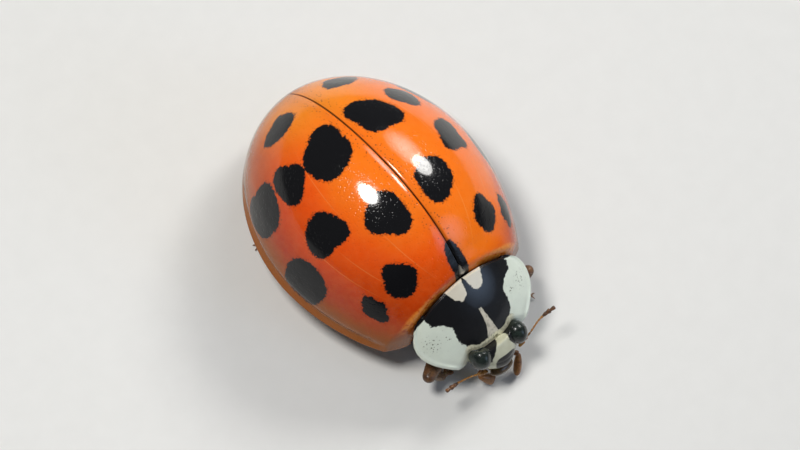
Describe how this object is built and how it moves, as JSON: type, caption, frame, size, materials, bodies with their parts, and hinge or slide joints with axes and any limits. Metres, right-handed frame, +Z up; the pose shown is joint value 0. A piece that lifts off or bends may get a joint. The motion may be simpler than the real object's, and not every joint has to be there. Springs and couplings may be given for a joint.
{
  "type": "harlequin ladybird",
  "caption": "Life-size model of a standing ladybird: glossy orange domed wing cases with ragged black spots, white pronotum with a black M, tucked brown legs.",
  "frame": {"origin": "on the floor, below the middle of the beetle's box", "axes": "+Z up from the floor, -Y towards the head, +X towards the beetle's left side"},
  "size_m": [0.0052, 0.0077, 0.0039],
  "materials": {
    "wing_case": "high gloss orange shell with fine pits, black spots and a clear amber rim",
    "scutellum": "satin grey-brown",
    "pronotum": "glossy ivory white with a black M",
    "head": "satin cream with black patches",
    "eye": "glossy black with fine facets",
    "mouthparts": "glossy amber brown",
    "antenna": "glossy amber, darker at the club",
    "thorax": "satin black brown",
    "abdomen": "satin orange brown plates",
    "leg": "satin reddish brown with fine hairs"
  },
  "bodies": {
    "root": {"wing_case_left": "wing_case", "wing_case_right": "wing_case", "scutellum": "scutellum", "pronotum": "pronotum", "head": "head", "eye_left": "eye", "eye_right": "eye", "labrum": "mouthparts", "palp_left": "mouthparts", "palp_right": "mouthparts", "antenna_left": "antenna", "antenna_right": "antenna", "prothorax": "thorax", "thorax": "thorax", "abdomen": "abdomen", "femur_front_left": "leg", "tibia_front_left": "leg", "tarsus_front_left": "leg", "femur_front_right": "leg", "tibia_front_right": "leg", "tarsus_front_right": "leg", "femur_middle_left": "leg", "tibia_middle_left": "leg", "tarsus_middle_left": "leg", "femur_middle_right": "leg", "tibia_middle_right": "leg", "tarsus_middle_right": "leg", "femur_hind_left": "leg", "tibia_hind_left": "leg", "tarsus_hind_left": "leg", "femur_hind_right": "leg", "tibia_hind_right": "leg", "tarsus_hind_right": "leg"}
  },
  "joints": []
}
